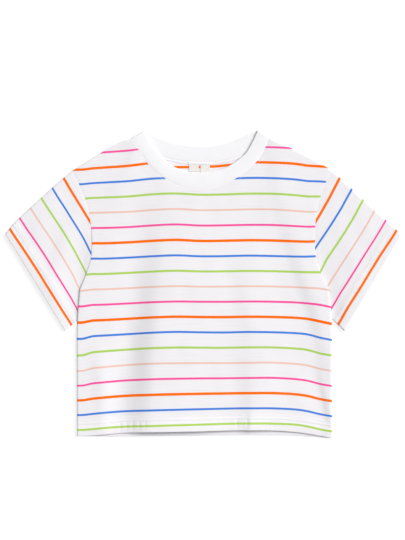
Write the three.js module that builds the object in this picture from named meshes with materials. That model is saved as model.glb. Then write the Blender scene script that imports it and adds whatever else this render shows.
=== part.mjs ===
// Crop top: a child's boxy short-sleeved T-shirt in striped cotton jersey, laid flat on its back.
//
// Millimetres. +Z is up from the surface that it lies on, +Y is towards the neck, and +X is towards
// the wearer's left sleeve. The origin is on that surface, below the middle of the whole outline.
// The front panel lies on the back panel, each sleeve is a tube pressed flat, and the neckband is
// one ring pressed flat. Each cloth layer is a wall between an outer and an inner grid of points.

import * as THREE from 'three';
import { mergeVertices } from 'three/addons/utils/BufferGeometryUtils.js';

// Cloth thicknesses and the heights that the layers lie at
const clothWall = 1.2;
const ribWall = 1.8;
const labelWall = 0.9;
const seamGap = 0.3;
const sleeveGap = 0.35;
const frontHeight = 4.3;
const bandHeight = 4.9;
const foldHeight = 2.2;
const foldInset = 5;
const hemSink = 0.7;
const hemSinkLength = 35;

// Rough lengths, for the spacing of the grids
const armholeLength = 178;
const shoulderLength = 92;
const bandLength = 262;
const sleeveRowLength = 45;

// A point this near a fold line counts as on it, and corners this near each other are one
const onFold = 0.15;
const tieMargin = 1e-6;
const mergeDistance = 1e-4;

// Numbers of steps in the grids
const foldSteps = 3;
const foldSamples = 40;
const softFoldSamples = 24;
const shoulderSteps = 8;
const necklineSteps = 26;
const bandWidthSteps = 3;
const sideSteps = 10;
const armholeSteps = 9;
const underarmSteps = 2;
const sleeveSteps = 8;
const backShoulderSteps = 2;
const backSideSteps = 2;

// Side edges from the hem up to the underarm, and armhole seams from there up to the shoulder tip
const sideRight = [
  { x: -177.0, y: -212.6 },
  { x: -177.2, y: -134.0 },
  { x: -177.0, y: -51.6 },
  { x: -173.8, y: -10.3 },
];
const armholeRight = [
  { x: -173.8, y: -10.3 },
  { x: -164.1, y: 13.8 },
  { x: -157.4, y: 35.9 },
  { x: -156.0, y: 57.6 },
  { x: -157.1, y: 78.6 },
  { x: -160.2, y: 100.3 },
  { x: -166.4, y: 121.2 },
  { x: -174.8, y: 141.6 },
  { x: -183.3, y: 159.0 },
];
const sideLeft = [
  { x: 180.7, y: -215.8 },
  { x: 179.8, y: -134.0 },
  { x: 179.8, y: -49.0 },
  { x: 176.5, y: -9.6 },
];
const armholeLeft = [
  { x: 176.5, y: -9.6 },
  { x: 163.9, y: 16.6 },
  { x: 157.1, y: 39.4 },
  { x: 156.2, y: 58.4 },
  { x: 156.4, y: 78.6 },
  { x: 158.4, y: 101.0 },
  { x: 163.9, y: 122.7 },
  { x: 171.6, y: 143.0 },
  { x: 180.8, y: 158.7 },
];

// Shoulder folds, from the tip to where the neckband is sewn on
const shoulderRight = [
  { x: -183.3, y: 159.0 },
  { x: -177.0, y: 163.0 },
  { x: -157.3, y: 175.5 },
  { x: -128.0, y: 193.1 },
  { x: -112.5, y: 201.0 },
  { x: -102.5, y: 203.5 },
];
const shoulderLeft = [
  { x: 180.8, y: 158.7 },
  { x: 167.4, y: 167.2 },
  { x: 138.0, y: 183.5 },
  { x: 119.8, y: 192.0 },
  { x: 100.2, y: 201.3 },
  { x: 91.8, y: 206.1 },
];

// Neckband, a row for each place along it from the right fold to the left: the point on its seam
// and the point across from it on its free edge
const frontBand = [
  { seamX: -102.5, seamY: 203.5, freeX: -83.9, freeY: 215.0 },
  { seamX: -89.4, seamY: 186.0, freeX: -74.0, freeY: 197.1 },
  { seamX: -76.1, seamY: 166.8, freeX: -61.1, freeY: 180.7 },
  { seamX: -55.2, seamY: 149.0, freeX: -42.3, freeY: 165.2 },
  { seamX: -27.8, seamY: 135.3, freeX: -23.5, freeY: 157.7 },
  { seamX: -6.2, seamY: 133.1, freeX: -5.5, freeY: 155.9 },
  { seamX: 15.0, seamY: 134.7, freeX: 10.8, freeY: 157.1 },
  { seamX: 42.8, seamY: 146.5, freeX: 31.1, freeY: 163.1 },
  { seamX: 71.3, seamY: 168.2, freeX: 57.5, freeY: 181.7 },
  { seamX: 86.2, seamY: 190.7, freeX: 69.0, freeY: 200.0 },
  { seamX: 91.8, seamY: 206.1, freeX: 76.2, freeY: 215.8 },
];
const backBand = [
  { seamX: -102.5, seamY: 203.5, freeX: -83.9, freeY: 215.0 },
  { seamX: -71.0, seamY: 184.0, freeX: -62.6, freeY: 205.0 },
  { seamX: -48.1, seamY: 176.3, freeX: -42.5, freeY: 198.3 },
  { seamX: -25.0, seamY: 172.1, freeX: -22.5, freeY: 194.7 },
  { seamX: -2.0, seamY: 171.0, freeX: -2.0, freeY: 193.7 },
  { seamX: 21.1, seamY: 172.2, freeX: 17.7, freeY: 194.7 },
  { seamX: 44.9, seamY: 178.1, freeX: 37.9, freeY: 199.7 },
  { seamX: 66.8, seamY: 186.8, freeX: 57.9, freeY: 207.7 },
  { seamX: 91.8, seamY: 206.1, freeX: 76.2, freeY: 215.8 },
];

// Hems, from the wearer's right to left. The back hem hangs a little lower in the middle
const frontHem = [
  { x: -177.0, y: -212.6 },
  { x: -151.8, y: -211.8 },
  { x: -123.8, y: -209.3 },
  { x: -97.2, y: -207.7 },
  { x: -46.8, y: -206.6 },
  { x: -7.6, y: -206.0 },
  { x: 55.4, y: -204.6 },
  { x: 98.8, y: -205.0 },
  { x: 124.0, y: -206.8 },
  { x: 150.6, y: -210.3 },
  { x: 180.7, y: -215.8 },
];
const backHem = [
  { x: -177.0, y: -212.6 },
  { x: -123.8, y: -213.4 },
  { x: -60.0, y: -213.0 },
  { x: 0.0, y: -212.2 },
  { x: 60.0, y: -211.6 },
  { x: 124.0, y: -212.2 },
  { x: 180.7, y: -215.8 },
];

// Sleeves: the top fold from the shoulder tip to the cuff, and the ends of the cuff. Between the
// underarm and the place named tuck, the lower fold runs down beside the body's side edge
const sleeveRight = {
  topFold: [
    { x: -199.4, y: 145.8 },
    { x: -234.7, y: 113.9 },
    { x: -265.2, y: 85.4 },
    { x: -277.4, y: 70.4 },
  ],
  tuck: { x: -177.0, y: -51.6 },
  cuffEnd: { x: -193.6, y: -65.4 },
};
const sleeveLeft = {
  topFold: [
    { x: 199.2, y: 141.8 },
    { x: 232.2, y: 111.2 },
    { x: 263.6, y: 82.8 },
    { x: 277.4, y: 69.6 },
  ],
  tuck: { x: 179.8, y: -49.0 },
  cuffEnd: { x: 197.1, y: -65.6 },
};
const underarmShare = 0.19;

// Where the neckline begins and ends across the body panels, as shares of their width
const neckStart = 0.222;
const neckEnd = 0.755;
const underarmRow = 0.53;

// A place inside each piece's outline, which tells a fold line's inner side from its outer one
const insideBody = { x: 0, y: 0 };
const insideSleeve = { x: 215, y: 50 };
const insideNeck = { x: 0, y: 170 };

// Soft folds of the front layer. Each is a line of places, with rises at even shares of its length.
// It fades out over steep on the side of the wearer's right, and over gentle on the other side
const bodyFolds = [
  {
    line: [
      { x: -52, y: 150 },
      { x: -61, y: 41 },
      { x: -69, y: -43 },
      { x: -76, y: -106 },
      { x: -80, y: -206 },
    ],
    rises: [0.1, 1.0, 1.4, 1.5, 1.2],
    steep: 14,
    gentle: 45,
  },
  {
    line: [
      { x: -72, y: 150 },
      { x: -82, y: 41 },
      { x: -90, y: -43 },
      { x: -96, y: -106 },
      { x: -100, y: -206 },
    ],
    rises: [-0.1, -0.8, -1.3, -1.5, -1.0],
    steep: 22,
    gentle: 13,
  },
  {
    line: [
      { x: -153, y: -95 },
      { x: -149, y: -150 },
      { x: -147, y: -205 },
    ],
    rises: [0.1, 0.8, 0.6],
    steep: 8,
    gentle: 14,
  },
  {
    line: [
      { x: 56, y: 80 },
      { x: 64, y: -22 },
      { x: 66, y: -106 },
      { x: 62, y: -205 },
    ],
    rises: [0.1, 1.0, 1.4, 1.3],
    steep: 15,
    gentle: 34,
  },
  {
    line: [
      { x: 93, y: 203 },
      { x: 103, y: 132 },
      { x: 120, y: 69 },
      { x: 141, y: 13 },
      { x: 158, y: -43 },
      { x: 168, y: -106 },
      { x: 176, y: -180 },
    ],
    rises: [0.6, 1.0, 1.4, 1.6, 1.4, 1.1, 0.4],
    steep: 12,
    gentle: 20,
  },
  {
    line: [
      { x: -93, y: 199 },
      { x: -104, y: 163 },
      { x: -131, y: 121 },
    ],
    rises: [0.6, 0.6, 0.1],
    steep: 9,
    gentle: 16,
  },
];
const sleeveRightFolds = [
  {
    line: [
      { x: -160, y: 70 },
      { x: -172, y: 20 },
      { x: -181, y: -50 },
    ],
    rises: [-0.3, -1.2, -1.3],
    steep: 20,
    gentle: 10,
  },
  {
    line: [
      { x: -176, y: 110 },
      { x: -196, y: 52 },
      { x: -216, y: 0 },
    ],
    rises: [0.2, 0.7, 0.4],
    steep: 10,
    gentle: 14,
  },
  {
    line: [
      { x: -206, y: 118 },
      { x: -232, y: 80 },
      { x: -254, y: 44 },
    ],
    rises: [0.1, 0.4, 0.2],
    steep: 12,
    gentle: 18,
  },
];
const sleeveLeftFolds = [
  {
    line: [
      { x: 162, y: 60 },
      { x: 172, y: 16 },
      { x: 184, y: -48 },
    ],
    rises: [-0.3, -0.9, -1.1],
    steep: 10,
    gentle: 14,
  },
  {
    line: [
      { x: 182, y: 100 },
      { x: 202, y: 50 },
      { x: 226, y: -6 },
    ],
    rises: [0.2, 0.6, 0.4],
    steep: 9,
    gentle: 16,
  },
  {
    line: [
      { x: 206, y: 116 },
      { x: 232, y: 80 },
      { x: 250, y: 46 },
    ],
    rises: [0.1, 0.3, 0.2],
    steep: 12,
    gentle: 18,
  },
];

// Labels on the inside of the back, from their seamed end down
const labels = [
  { name: 'label_right', x: -13.4, top: 170.2, length: 12.4, width: 13.4, turn: -0.01 },
  { name: 'label_left', x: 2.6, top: 170.2, length: 16.6, width: 13.2, turn: 0.03 },
];
const labelCorner = 0.8;
const labelCornerSteps = 3;

const clothColour = 0xf3f1f4;
const labelColour = 0xf4efe4;

// Curves

function smoothLine(rows) {
  const points = rows.map(({ x, y }) => new THREE.Vector3(x, y, 0));
  const curve = new THREE.CatmullRomCurve3(points, false, 'centripetal');
  return (share) => curve.getPointAt(THREE.MathUtils.clamp(share, 0, 1));
}

function straightLine(start, end) {
  const from = new THREE.Vector3(start.x, start.y, 0);
  const to = new THREE.Vector3(end.x, end.y, 0);
  return (share) => from.clone().lerp(to, share);
}

function reversed(line) {
  return (share) => line(1 - share);
}

// One line made of several, each of which takes the stretch of shares between two stops
function chain(lines, stops) {
  return (share) => {
    let part = 0;
    while (part < lines.length - 1 && share > stops[part + 1]) part += 1;
    return lines[part]((share - stops[part]) / (stops[part + 1] - stops[part]));
  };
}

// The surface between four boundary lines that meet at their ends
function patch(bottom, top, left, right) {
  return (u, v) =>
    new THREE.Vector3()
      .addScaledVector(bottom(u), 1 - v)
      .addScaledVector(top(u), v)
      .addScaledVector(left(v), 1 - u)
      .addScaledVector(right(v), u)
      .addScaledVector(bottom(0), -(1 - u) * (1 - v))
      .addScaledVector(bottom(1), -u * (1 - v))
      .addScaledVector(top(0), -(1 - u) * v)
      .addScaledVector(top(1), -u * v);
}

// Shares of a line from 0 to 1: close together where it leaves a fold, and even in between
function steps(length, count, { foldAtStart = false, foldAtEnd = false } = {}) {
  const inset = foldInset / length;
  const start = foldAtStart ? inset : 0;
  const end = foldAtEnd ? 1 - inset : 1;
  const list = [];
  for (let step = 0; step < foldSteps && foldAtStart; step += 1) {
    list.push(inset * (1 - Math.cos((step / foldSteps) * (Math.PI / 2))));
  }
  for (let step = 0; step <= count; step += 1) {
    list.push(start + ((end - start) * step) / count);
  }
  for (let step = foldSteps - 1; step >= 0 && foldAtEnd; step -= 1) {
    list.push(1 - inset * (1 - Math.cos((step / foldSteps) * (Math.PI / 2))));
  }
  return list;
}

function spread(list, from, to) {
  return list.map((share) => from + (to - from) * share);
}

// Heights

function samplePoints(line, count) {
  return Array.from({ length: count + 1 }, (_, index) => line(index / count));
}

// The nearest place to a point on a run of points: its distance, segment and share of the run
function nearestOn(run, point) {
  let best = { distance: Infinity };
  for (let index = 0; index < run.length - 1; index += 1) {
    const segment = new THREE.Line3(run[index], run[index + 1]);
    const along = segment.closestPointToPointParameter(point, true);
    const place = segment.at(along, new THREE.Vector3());
    const distance = place.distanceTo(point);
    if (distance < best.distance - tieMargin) {
      best = { distance, segment, place, share: (index + along) / (run.length - 1) };
    }
  }
  return best;
}

function atShare(values, share) {
  const stop = share * (values.length - 1);
  const index = Math.min(Math.floor(stop), values.length - 2);
  return THREE.MathUtils.lerp(values[index], values[index + 1], stop - index);
}

// How far a piece's soft folds raise its front layer at a place
function riseOf(folds) {
  const runs = folds.map(({ line }) => samplePoints(smoothLine(line), softFoldSamples));
  return (x, y) => {
    const point = new THREE.Vector3(x, y, 0);
    return folds.reduce((total, { rises, steep, gentle }, index) => {
      const { distance, place, share } = nearestOn(runs[index], point);
      const width = x < place.x ? steep : gentle;
      return total + atShare(rises, share) * Math.exp(-((distance / width) ** 2));
    }, 0);
  };
}

const bodyRise = riseOf(bodyFolds);

function bodyHeight(x, y) {
  const hemY = frontHem[0].y;
  const fromHem = THREE.MathUtils.clamp((y - hemY) / hemSinkLength, 0, 1);
  return frontHeight - hemSink * (1 - fromHem) ** 2 + bodyRise(x, y);
}

// Distance of a point from the nearest of a piece's fold lines, and the way inwards from it
function foldFinder(lines, inside) {
  const runs = lines.map((line) => samplePoints(line, foldSamples));
  const middle = new THREE.Vector3(inside.x, inside.y, 0);
  return (point) => {
    let best = { distance: Infinity };
    for (const run of runs) {
      const nearest = nearestOn(run, point);
      if (nearest.distance < best.distance - tieMargin) best = nearest;
    }
    const along = best.segment.delta(new THREE.Vector3()).normalize();
    const inwards = new THREE.Vector3(-along.y, along.x, 0);
    if (inwards.dot(middle.clone().sub(best.segment.start)) < 0) inwards.negate();
    return { distance: best.distance, inwards };
  };
}

// The outer and inner point of a layer's wall over one point of the plan. Near a fold, the wall
// turns in a quarter ellipse down, or up, to the fold's own height
function wallPoints(point, findFold, layer) {
  const { distance, inwards } = findFold(point);
  const inset = distance < onFold ? 0 : distance;
  const lean = 1 - Math.min(inset / foldInset, 1);
  const lift = Math.sqrt(1 - lean ** 2);
  const flatZ = layer.front ? layer.height(point.x, point.y) : 0;
  const edgeZ = foldHeight + (layer.front ? layer.edgeGap : -layer.edgeGap);
  const outer = new THREE.Vector3(point.x, point.y, edgeZ + (flatZ - edgeZ) * lift);
  const inner = outer.clone().addScaledVector(inwards, layer.wall * lean);
  inner.z += (layer.front ? -1 : 1) * layer.wall * lift;
  return { outer, inner };
}

// Meshes

function layerGrid(surface, columns, rows, findFold, layer) {
  return columns.map((u) => rows.map((v) => wallPoints(surface(u, v), findFold, layer)));
}

function addQuad(triangles, a, b, c, d) {
  triangles.push(a, b, c, a, c, d);
}

// Both faces of a layer, and the edge faces between them wherever the layer isn't folded over
function addLayer(triangles, grid, front, isOpen) {
  const lastColumn = grid.length - 1;
  const lastRow = grid[0].length - 1;
  const put = front
    ? (a, b, c, d) => addQuad(triangles, a, b, c, d)
    : (a, b, c, d) => addQuad(triangles, d, c, b, a);
  for (let i = 0; i < lastColumn; i += 1) {
    for (let j = 0; j < lastRow; j += 1) {
      const corners = [grid[i][j], grid[i + 1][j], grid[i + 1][j + 1], grid[i][j + 1]];
      const [a, b, c, d] = corners;
      put(a.outer, b.outer, c.outer, d.outer);
      put(d.inner, c.inner, b.inner, a.inner);
    }
  }
  const addEdge = (from, to) => put(from.inner, to.inner, to.outer, from.outer);
  for (let i = 0; i < lastColumn; i += 1) {
    if (isOpen('bottom', i)) addEdge(grid[i][0], grid[i + 1][0]);
    if (isOpen('top', i)) addEdge(grid[i + 1][lastRow], grid[i][lastRow]);
  }
  for (let j = 0; j < lastRow; j += 1) {
    if (isOpen('left', j)) addEdge(grid[0][j + 1], grid[0][j]);
    if (isOpen('right', j)) addEdge(grid[lastColumn][j], grid[lastColumn][j + 1]);
  }
}

function signedVolume(triangles) {
  let volume = 0;
  for (let index = 0; index < triangles.length; index += 3) {
    const [a, b, c] = triangles.slice(index, index + 3);
    volume += a.dot(b.clone().cross(c)) / 6;
  }
  return volume;
}

function solidMesh(name, triangles, material) {
  const ordered = signedVolume(triangles) < 0 ? triangles.toReversed() : triangles;
  const loose = new THREE.BufferGeometry().setFromPoints(ordered);
  const geometry = mergeVertices(loose, mergeDistance);
  geometry.computeVertexNormals();
  const mesh = new THREE.Mesh(geometry, material);
  mesh.name = name;
  return mesh;
}

function clothMaterial() {
  return new THREE.MeshStandardMaterial({ color: clothColour, roughness: 0.9, metalness: 0 });
}

// Shared lines of the body
const lines = {
  sideRight: smoothLine(sideRight),
  sideLeft: smoothLine(sideLeft),
  armholeRight: smoothLine(armholeRight),
  armholeLeft: smoothLine(armholeLeft),
  shoulderRight: smoothLine(shoulderRight),
  shoulderLeft: smoothLine(shoulderLeft),
};

const armholeRows = steps(armholeLength, armholeSteps, { foldAtStart: true, foldAtEnd: true });
const bandColumns = steps(bandLength, necklineSteps, { foldAtStart: true, foldAtEnd: true });

function seamLine(band) {
  return smoothLine(band.map(({ seamX, seamY }) => ({ x: seamX, y: seamY })));
}

function freeLine(band) {
  return smoothLine(band.map(({ freeX, freeY }) => ({ x: freeX, y: freeY })));
}

// Front and back panels: folded at the side edges and shoulders, open at the other edges

function bodyPanel(name, { front, band, hem, shoulderCount, sideCount }) {
  const top = chain(
    [lines.shoulderRight, seamLine(band), reversed(lines.shoulderLeft)],
    [0, neckStart, neckEnd, 1],
  );
  const edgeStops = [0, underarmRow, 1];
  const left = chain([lines.sideRight, lines.armholeRight], edgeStops);
  const right = chain([lines.sideLeft, lines.armholeLeft], edgeStops);
  const shoulderColumns = steps(shoulderLength, shoulderCount, { foldAtStart: true });
  const farShoulderColumns = shoulderColumns.map((share) => 1 - share).reverse();
  const columns = [
    ...spread(shoulderColumns, 0, neckStart).slice(0, -1),
    ...spread(bandColumns, neckStart, neckEnd),
    ...spread(farShoulderColumns, neckEnd, 1).slice(1),
  ];
  const rows = [
    ...spread(steps(1, sideCount), 0, underarmRow).slice(0, -1),
    ...spread(armholeRows, underarmRow, 1),
  ];
  const foldLines = [lines.sideRight, lines.sideLeft, lines.shoulderRight, lines.shoulderLeft];
  const layer = { front, height: bodyHeight, wall: clothWall, edgeGap: seamGap / 2 };
  const surface = patch(smoothLine(hem), top, left, right);
  const grid = layerGrid(surface, columns, rows, foldFinder(foldLines, insideBody), layer);
  const triangles = [];
  addLayer(triangles, grid, front, () => true);
  return solidMesh(name, triangles, clothMaterial());
}

// Sleeves: tubes pressed flat, open along the armhole and at the cuff

function sleeve(name, { armholeTable, shape, folds, outwards }) {
  const shift = outwards * sleeveGap;
  const moved = armholeTable.map(({ x, y }) => ({ x: x + shift, y }));
  const armhole = smoothLine(moved);
  const tuck = { x: shape.tuck.x + shift, y: shape.tuck.y };
  const tucked = straightLine(tuck, moved[0]);
  const topFold = smoothLine([moved[moved.length - 1], ...shape.topFold]);
  const cuffTop = shape.topFold[shape.topFold.length - 1];
  const bottom = chain([tucked, armhole], [0, underarmShare, 1]);
  const lowerFold = straightLine(tuck, shape.cuffEnd);
  const surface = patch(bottom, straightLine(shape.cuffEnd, cuffTop), lowerFold, topFold);
  const tuckLength = Math.hypot(tuck.x - moved[0].x, tuck.y - moved[0].y);
  const tuckColumns = steps(tuckLength, underarmSteps, { foldAtStart: true });
  const columns = [
    ...spread(tuckColumns, 0, underarmShare).slice(0, -1),
    ...spread(armholeRows, underarmShare, 1),
  ];
  const rows = steps(sleeveRowLength, sleeveSteps, { foldAtStart: true });
  const inside = { x: outwards * insideSleeve.x, y: insideSleeve.y };
  const findFold = foldFinder([tucked, lowerFold, topFold], inside);
  const rise = riseOf(folds);
  const height = (x, y) => frontHeight + rise(x, y);
  const isOpen = (edge, index) =>
    edge === 'top' || (edge === 'bottom' && index >= tuckColumns.length - 1);
  const triangles = [];
  for (const front of [true, false]) {
    const layer = { front, height, wall: clothWall, edgeGap: 0 };
    addLayer(triangles, layerGrid(surface, columns, rows, findFold, layer), front, isOpen);
  }
  return solidMesh(name, triangles, clothMaterial());
}

// Neckband: one ring of rib pressed flat, sewn to the panels along its lower edges

function neckband() {
  const triangles = [];
  const foldLines = [frontBand[0], frontBand[frontBand.length - 1]].map((end) =>
    straightLine({ x: end.seamX, y: end.seamY }, { x: end.freeX, y: end.freeY }),
  );
  const findFold = foldFinder(foldLines, insideNeck);
  const rows = steps(1, bandWidthSteps);
  const isOpen = (edge) => edge === 'top' || edge === 'bottom';
  for (const front of [true, false]) {
    const seam = seamLine(front ? frontBand : backBand);
    const free = freeLine(front ? frontBand : backBand);
    const surface = (u, v) => {
      const sewn = seam(u);
      const across = free(u).sub(sewn);
      const gapShare = seamGap / across.length();
      return sewn.addScaledVector(across, gapShare + (1 - gapShare) * v);
    };
    const layer = { front, height: () => bandHeight, wall: ribWall, edgeGap: 0 };
    addLayer(triangles, layerGrid(surface, bandColumns, rows, findFold, layer), front, isOpen);
  }
  return solidMesh('neckband', triangles, clothMaterial());
}

// Labels: small bare tabs that lie on the back panel, below the back neck seam

function label({ name, x, top, length, width, turn }) {
  const outline = new THREE.Shape();
  const half = width / 2;
  outline.moveTo(-half, 0);
  outline.lineTo(-half, -length + labelCorner);
  outline.absarc(-half + labelCorner, -length + labelCorner, labelCorner, Math.PI, 1.5 * Math.PI);
  outline.absarc(half - labelCorner, -length + labelCorner, labelCorner, 1.5 * Math.PI, 0);
  outline.lineTo(half, 0);
  const geometry = new THREE.ExtrudeGeometry(outline, {
    depth: labelWall,
    bevelEnabled: false,
    curveSegments: labelCornerSteps,
  });
  const material = new THREE.MeshStandardMaterial({
    color: labelColour,
    roughness: 0.8,
    metalness: 0,
  });
  const mesh = new THREE.Mesh(geometry, material);
  mesh.name = name;
  mesh.position.set(x, top, clothWall + seamGap);
  mesh.rotation.z = turn;
  return mesh;
}

const garment = new THREE.Group();
garment.add(
  bodyPanel('front_panel', {
    front: true,
    band: frontBand,
    hem: frontHem,
    shoulderCount: shoulderSteps,
    sideCount: sideSteps,
  }),
  bodyPanel('back_panel', {
    front: false,
    band: backBand,
    hem: backHem,
    shoulderCount: backShoulderSteps,
    sideCount: backSideSteps,
  }),
  sleeve('sleeve_right', {
    armholeTable: armholeRight,
    shape: sleeveRight,
    folds: sleeveRightFolds,
    outwards: -1,
  }),
  sleeve('sleeve_left', {
    armholeTable: armholeLeft,
    shape: sleeveLeft,
    folds: sleeveLeftFolds,
    outwards: 1,
  }),
  neckband(),
  ...labels.map(label),
);

export default garment;
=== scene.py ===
"""A child's boxy short-sleeved T-shirt in striped cotton jersey, laid flat on its back.

Metres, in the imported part's own frame: +Z is up from the floor, +Y is towards the neck, and +X is
towards the wearer's left sleeve. Each cloth piece is a closed thin shell over the same outline and
heights as its solid, with finer folds, hems, seams and stitches, and a map in cloth metres that
the stripes and the knit follow.
"""

import math

import bmesh
import bpy
import numpy as np
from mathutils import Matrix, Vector


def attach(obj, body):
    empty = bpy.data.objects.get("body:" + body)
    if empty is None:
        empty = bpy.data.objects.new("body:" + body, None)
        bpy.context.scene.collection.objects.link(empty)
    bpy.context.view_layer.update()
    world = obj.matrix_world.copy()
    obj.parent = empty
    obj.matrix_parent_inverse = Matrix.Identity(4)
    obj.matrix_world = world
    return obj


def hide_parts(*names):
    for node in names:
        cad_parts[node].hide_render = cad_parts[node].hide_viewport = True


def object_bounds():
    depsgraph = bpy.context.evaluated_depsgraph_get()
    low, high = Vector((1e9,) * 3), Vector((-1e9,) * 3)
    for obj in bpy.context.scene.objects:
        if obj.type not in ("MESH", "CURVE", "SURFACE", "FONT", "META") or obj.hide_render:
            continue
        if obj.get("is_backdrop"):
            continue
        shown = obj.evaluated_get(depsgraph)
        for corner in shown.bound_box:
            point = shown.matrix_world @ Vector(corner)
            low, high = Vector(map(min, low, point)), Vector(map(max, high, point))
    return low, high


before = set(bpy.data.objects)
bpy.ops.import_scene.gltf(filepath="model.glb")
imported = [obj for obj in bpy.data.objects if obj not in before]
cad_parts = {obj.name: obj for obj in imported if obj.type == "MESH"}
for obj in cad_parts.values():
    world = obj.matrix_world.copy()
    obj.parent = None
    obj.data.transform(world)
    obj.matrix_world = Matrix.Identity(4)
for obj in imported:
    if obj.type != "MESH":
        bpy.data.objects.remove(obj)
cad_low, cad_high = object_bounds()

# Cloth thicknesses and the heights that the layers lie at
CLOTH_WALL = 0.0009
RIB_WALL = 0.0015
FRONT_HEIGHT = 0.0043
BAND_HEIGHT = 0.0044
BAND_SINK = 0.0002
FOLD_HEIGHT = 0.0022
FOLD_INSET = 0.0014
BAND_INSET = 0.0024
ON_FOLD = 0.00002
HEM_SINK = 0.0010
HEM_SINK_LENGTH = 0.035
HEM_LIFT = 0.0014
HEM_LIFT_X = -0.022
HEM_LIFT_WIDTH = 0.085
HEM_DEPTH = 0.0205
# The jersey is painted lighter along the doubled hems, fading over this distance. This is partly the
# whiter doubled cloth and partly a painted highlight for the hem's lift towards the lamp
HEM_PAINTED_LIGHT_FADE = 0.0020
HEM_STEP_TOP = 0.0242
HEM_STEP_WIDTH = 0.0042
HEM_EXTRA = 0.0004

# Relief at the seams, and at the hems by the distance from their edge. Each swell is its height,
# place and width
SEAM_DIP = 0.00014
SEAM_DIP_WIDTH = 0.0014
STITCH_DIP = 0.00016
STITCH_DIP_WIDTH = 0.0010
STITCH_DIP_VARIES = 0.5
STITCH_DIP_TURNS = (420, 137)
HEM_ROWS = (0.0150, 0.0200)
HEM_SWELLS = [(0.00014, 0.0175, 0.0013), (0.00018, 0.0080, 0.0060)]
ALLOWANCE_EDGE = 0.0006
EDGE_ROUND = 0.0003
EDGE_WIDTH = 0.0009
TOPSTITCH_OFFSET = 0.0028
TOPSTITCH_DIP = 0.00018
TOPSTITCH_WIDTH = 0.0007

# Faint waves all over the cloth, a row for each: its height, radians a metre across and along,
# where it starts, and how far it bends
RIPPLES = [
    (0.00010, 61, 0, 1.1, 0.7),
    (0.00007, 113, -31, 0.4, 0),
    (0.00006, 37, 71, 2.3, 0),
    (0.00004, 190, 57, 4.0, 0),
]
RIPPLE_BENDS = 23
RIPPLE_SHIFT = 0.3

# Meshes: points nearer than this are one, and edges sharper than this stay sharp
MERGE_DISTANCE = 2e-6
SHARP_ANGLE = math.radians(55)

# Camera: straight above, framed as the photograph
CAMERA_X = -0.0013
CAMERA_Y = 0.0198
FRAME_HEIGHT = 0.756
LENS_MM = 100.0
SENSOR_MM = 36.0
FOCUS_HEIGHT = 0.003
CLIP_END = 50.0

# Studio: a large soft lamp far off to the wearer's left and above, an even fill, and a white table
# lit from below
KEY_FROM = (4.6, 2.6, 3.8)
KEY_SPREAD = 0.70
KEY_STRENGTH = 4.10
FILL_STRENGTH = 0.33
FLOOR_GLOW = 0.79
FLOOR_TONE = 0.22
FLOOR_SIDE = 60.0
FLOOR_GAP = 0.0002

# Side edges from the hem up to the underarm, and armhole seams from there to the shoulder tip
SIDE_RIGHT = [(-0.1770, -0.2126), (-0.1772, -0.1340), (-0.1770, -0.0516), (-0.1738, -0.0103)]
SIDE_LEFT = [(0.1807, -0.2158), (0.1798, -0.1340), (0.1798, -0.0490), (0.1765, -0.0096)]
ARMHOLE_RIGHT = [
    (-0.1738, -0.0103), (-0.1641, 0.0138), (-0.1574, 0.0359), (-0.1560, 0.0576), (-0.1571, 0.0786),
    (-0.1602, 0.1003), (-0.1664, 0.1212), (-0.1748, 0.1416), (-0.1833, 0.1590),
]
ARMHOLE_LEFT = [
    (0.1765, -0.0096), (0.1639, 0.0166), (0.1571, 0.0394), (0.1562, 0.0584), (0.1564, 0.0786),
    (0.1584, 0.1010), (0.1639, 0.1227), (0.1716, 0.1430), (0.1808, 0.1587),
]

# Shoulder folds, from the tip to where the neckband is sewn on
SHOULDER_RIGHT = [
    (-0.1833, 0.1590), (-0.1770, 0.1630), (-0.1573, 0.1755), (-0.1280, 0.1931), (-0.1125, 0.2010),
    (-0.1025, 0.2035),
]
SHOULDER_LEFT = [
    (0.1808, 0.1587), (0.1674, 0.1672), (0.1380, 0.1835), (0.1198, 0.1920), (0.1002, 0.2013),
    (0.0918, 0.2061),
]

# Neckband, a row for each place along it from the right fold to the left: the point on its seam,
# then the point across from it on its free edge
FRONT_BAND = [
    (-0.1025, 0.2035, -0.0839, 0.2150),
    (-0.0894, 0.1860, -0.0740, 0.1971),
    (-0.0761, 0.1668, -0.0611, 0.1807),
    (-0.0552, 0.1490, -0.0423, 0.1652),
    (-0.0278, 0.1353, -0.0235, 0.1577),
    (-0.0062, 0.1331, -0.0055, 0.1559),
    (0.0150, 0.1347, 0.0108, 0.1571),
    (0.0428, 0.1465, 0.0311, 0.1631),
    (0.0713, 0.1682, 0.0575, 0.1817),
    (0.0862, 0.1907, 0.0690, 0.2000),
    (0.0918, 0.2061, 0.0762, 0.2158),
]
BACK_BAND = [
    (-0.1025, 0.2035, -0.0839, 0.2150),
    (-0.0710, 0.1840, -0.0626, 0.2050),
    (-0.0481, 0.1763, -0.0425, 0.1983),
    (-0.0250, 0.1721, -0.0225, 0.1947),
    (-0.0020, 0.1710, -0.0020, 0.1937),
    (0.0211, 0.1722, 0.0177, 0.1947),
    (0.0449, 0.1781, 0.0379, 0.1997),
    (0.0668, 0.1868, 0.0579, 0.2077),
    (0.0918, 0.2061, 0.0762, 0.2158),
]

# Hems, from the wearer's right to left
FRONT_HEM = [
    (-0.1770, -0.2126), (-0.1518, -0.2118), (-0.1238, -0.2093), (-0.0972, -0.2077),
    (-0.0468, -0.2066), (-0.0076, -0.2060), (0.0554, -0.2046), (0.0988, -0.2050), (0.1240, -0.2068),
    (0.1506, -0.2103), (0.1807, -0.2158),
]
BACK_HEM = [
    (-0.1770, -0.2126), (-0.1238, -0.2134), (-0.0600, -0.2130), (0.0000, -0.2122),
    (0.0600, -0.2116), (0.1240, -0.2122), (0.1807, -0.2158),
]

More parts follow.
